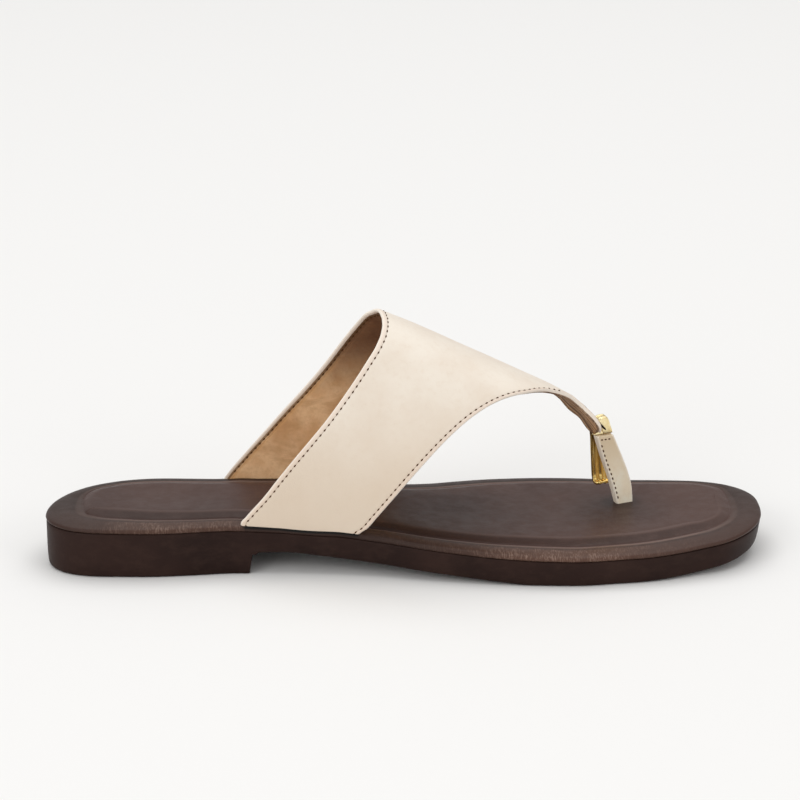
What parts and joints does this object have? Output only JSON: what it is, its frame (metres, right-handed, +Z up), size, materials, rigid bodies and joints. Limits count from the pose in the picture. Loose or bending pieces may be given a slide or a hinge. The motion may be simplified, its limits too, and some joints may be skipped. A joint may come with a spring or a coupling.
{
  "type": "toe post sandal",
  "caption": "Flat right-foot sandal: moulded outsole with a low heel, cushioned footbed, and one broad strap that narrows to a toe post with a metal link.",
  "frame": {"origin": "middle of the footprint's length and width, on the floor", "axes": "+X from heel to toe, +Y to the medial (big toe) side, +Z up"},
  "size_m": [0.26, 0.0872, 0.0892],
  "materials": {
    "outsole": "satin",
    "footbed": "satin",
    "upper": "soft gloss",
    "toe_post": "soft gloss",
    "toe_link": "polished"
  },
  "bodies": {
    "root": {"outsole": "outsole", "footbed": "footbed", "upper": "upper", "toe_post": "toe_post", "toe_link": "toe_link"}
  },
  "joints": []
}
